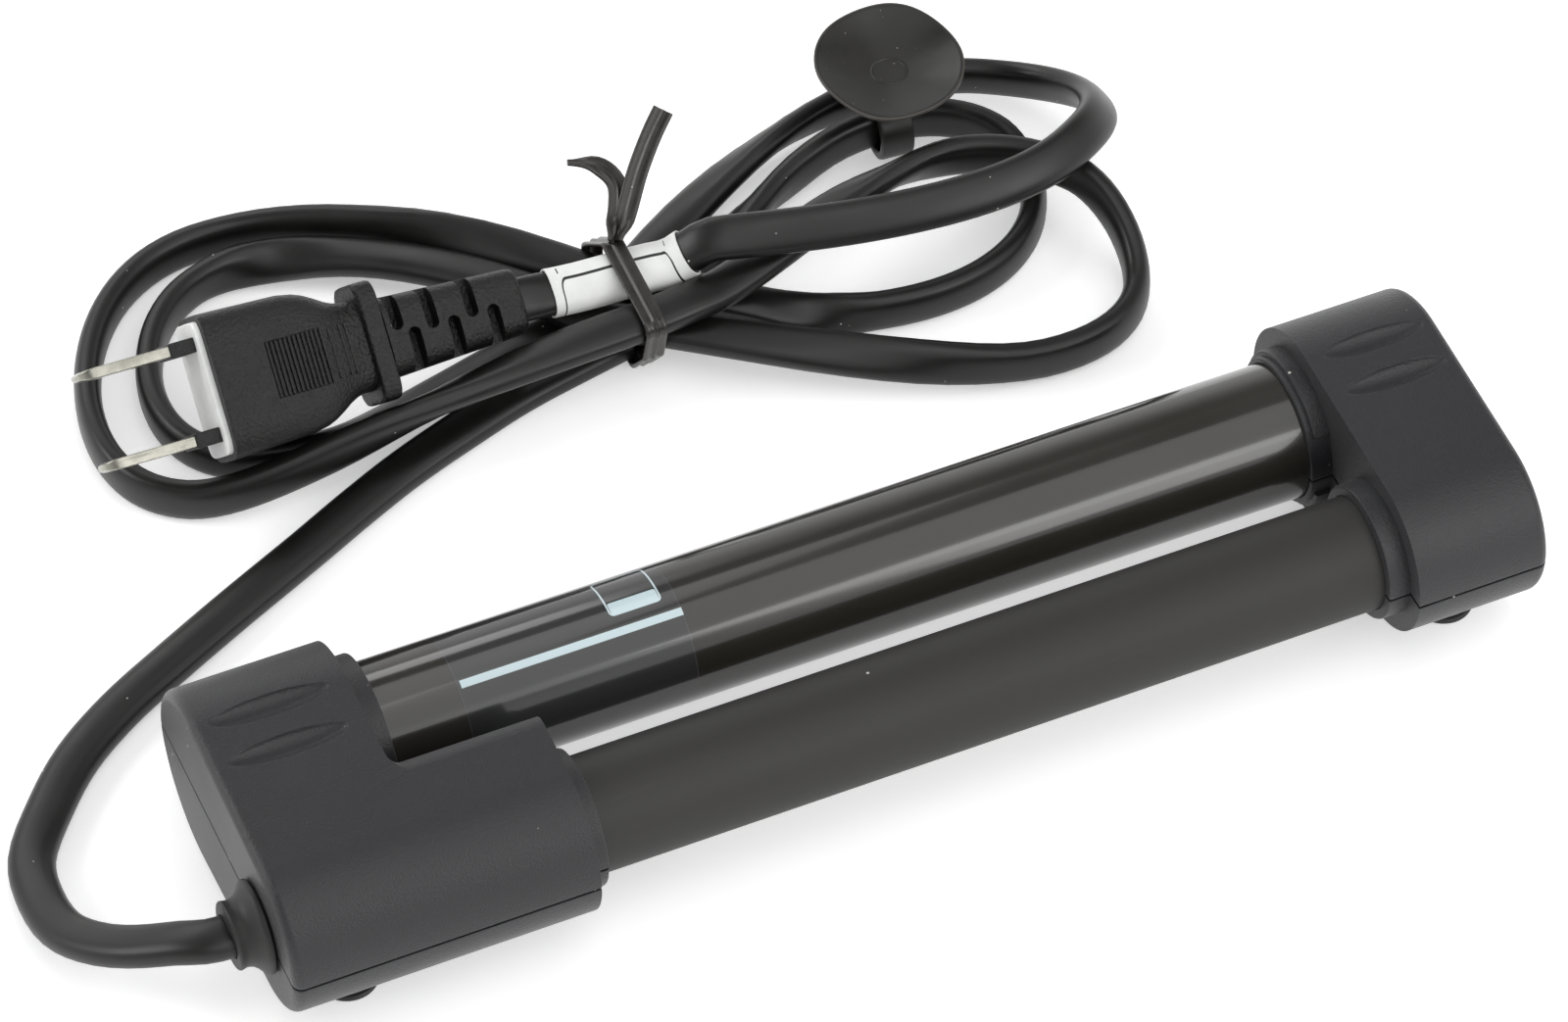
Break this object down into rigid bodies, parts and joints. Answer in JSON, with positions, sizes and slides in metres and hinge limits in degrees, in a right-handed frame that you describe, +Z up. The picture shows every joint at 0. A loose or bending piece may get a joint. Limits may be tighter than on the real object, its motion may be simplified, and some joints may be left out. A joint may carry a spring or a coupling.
{
  "type": "submersible aquarium heater",
  "caption": "Submersible aquarium heater with a heating tube and a control tube in moulded end caps, a mains lead tied in a hank, a plug and a suction cup on the lead.",
  "frame": {"origin": "on the table under the middle of the two end caps, between the two tubes", "axes": "+X along the tubes from the cord end to the far end, +Y from the heating tube to the control tube, +Z up"},
  "size_m": [0.2054, 0.1412, 0.029],
  "materials": {
    "cap_plastic": "charcoal moulding with a fine spark-eroded texture",
    "sleeve_plastic": "matte black tube with faint scuffs along it",
    "smoked_glass": "dark smoked glass, glossy",
    "clear_glass": "clear borosilicate glass",
    "film": "thin bare film with a pale stripe",
    "black_rubber": "soft black rubber with pale dust",
    "ceramic_white": "unglazed ceramic",
    "heating_alloy": "drawn resistance wire",
    "board_laminate": "green laminate",
    "component_plastic": "moulded component bodies",
    "sensor_resin": "dipped resin bead",
    "bright_metal": "plain bright metal",
    "wire_insulation": "flexible insulation",
    "cord_pvc": "satin black flexible sheath",
    "label_paper": "white label, bare apart from thin outlines",
    "tie_plastic": "black coated strip over a thin wire",
    "plug_plastic": "black moulding with a fine texture",
    "nickel": "nickel-plated brass",
    "face_plastic": "pale bare plate"
  },
  "bodies": {
    "heater": {"cord_cap_upper": "cap_plastic", "cord_cap_lower": "cap_plastic", "far_cap_upper": "cap_plastic", "far_cap_lower": "cap_plastic", "control_tube": "smoked_glass", "rating_film": "film", "heater_sleeve": "sleeve_plastic", "heater_glass": "clear_glass", "ceramic_core": "ceramic_white", "heating_wire": "heating_alloy", "control_stopper_cord_end": "black_rubber", "control_stopper_far_end": "black_rubber", "heater_stopper_cord_end": "black_rubber", "heater_stopper_far_end": "black_rubber", "circuit_board": "board_laminate", "triac": "component_plastic", "board_components": "component_plastic", "temperature_sensor": "sensor_resin", "thermal_fuse": "bright_metal", "lead_wires": "wire_insulation", "lead_joints": "bright_metal", "cord_gland": "black_rubber", "foot_front_cord_end": "black_rubber", "foot_rear_cord_end": "black_rubber", "foot_front_far_end": "black_rubber", "foot_rear_far_end": "black_rubber", "cord_lead": "cord_pvc", "cord_hank": "cord_pvc", "cord_tail": "cord_pvc", "cord_label": "label_paper", "twist_tie": "tie_plastic", "plug_body": "plug_plastic", "plug_blade_left": "nickel", "plug_blade_right": "nickel", "blade_sleeve_left": "plug_plastic", "blade_sleeve_right": "plug_plastic", "plug_face_plate": "face_plastic"},
    "suction_cup": {"suction_cup_clip": "black_rubber"}
  },
  "joints": [
    {"name": "cup_swivel", "type": "hinge", "parent": "heater", "child": "suction_cup", "pos_m": [0.04723, 0.09497, 0.005], "axis": [-0.9973, 0.0731, 0], "range_deg": [-15, 15]}
  ]
}
